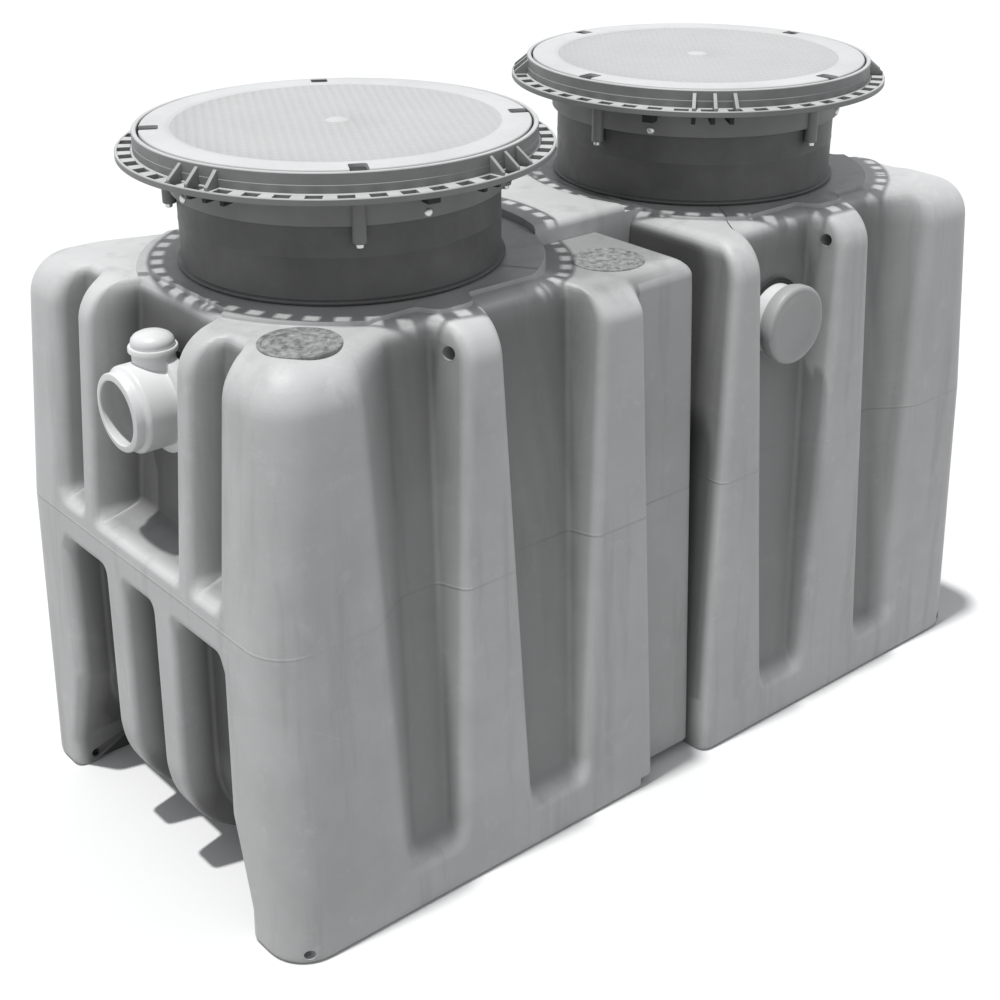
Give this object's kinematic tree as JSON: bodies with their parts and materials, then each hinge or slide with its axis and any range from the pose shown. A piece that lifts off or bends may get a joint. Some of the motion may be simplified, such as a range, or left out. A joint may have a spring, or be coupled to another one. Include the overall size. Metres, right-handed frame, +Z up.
{
  "type": "grease separator",
  "caption": "Moulded plastic grease separator with ribbed chambers on skids, round access shafts with covers, an inlet tee and a capped side pipe.",
  "frame": {"origin": "ground level under the middle of the tank, midway between the two access shafts", "axes": "+X along the tank from inlet end to outlet end, +Y towards the back long side, +Z up"},
  "size_m": [2.17, 1.08, 1.528],
  "materials": {
    "tank": "satin moulded",
    "shaft": "satin",
    "frame": "satin",
    "cover": "chequered",
    "rubber": "matt",
    "pipe": "smooth",
    "cap": "smooth"
  },
  "bodies": {
    "root": {"inlet_front_wall": "tank", "inlet_waist_wall": "tank", "inlet_back_wall": "tank", "inlet_end_upper_wall": "tank", "inlet_end_band": "tank", "inlet_end_lower_wall": "tank", "inlet_recess_panels": "tank", "inlet_floor": "tank", "inlet_deck": "tank", "outlet_front_wall": "tank", "outlet_end_upper_wall": "tank", "outlet_end_band": "tank", "outlet_end_lower_wall": "tank", "outlet_back_wall": "tank", "outlet_waist_wall": "tank", "outlet_recess_panels": "tank", "outlet_floor": "tank", "outlet_deck": "tank", "throat": "tank", "saddle": "tank", "inlet_front_skid": "tank", "inlet_back_skid": "tank", "outlet_front_skid": "tank", "outlet_back_skid": "tank", "inlet_lifting_tubes": "tank", "outlet_lifting_tubes": "tank", "inlet_neck_ring": "tank", "outlet_neck_ring": "tank", "inlet_shaft": "shaft", "inlet_cover_frame": "frame", "inlet_cover_gasket": "rubber", "inlet_cover": "cover", "inlet_wall_seal": "rubber", "outlet_shaft": "shaft", "outlet_cover_frame": "frame", "outlet_cover_gasket": "rubber", "outlet_cover": "cover", "outlet_wall_seal": "rubber", "side_wall_seal": "rubber", "inlet_tee": "pipe", "inlet_tee_plug": "pipe", "outlet_pipe": "pipe", "side_pipe": "pipe", "side_pipe_cap": "cap"}
  },
  "joints": []
}
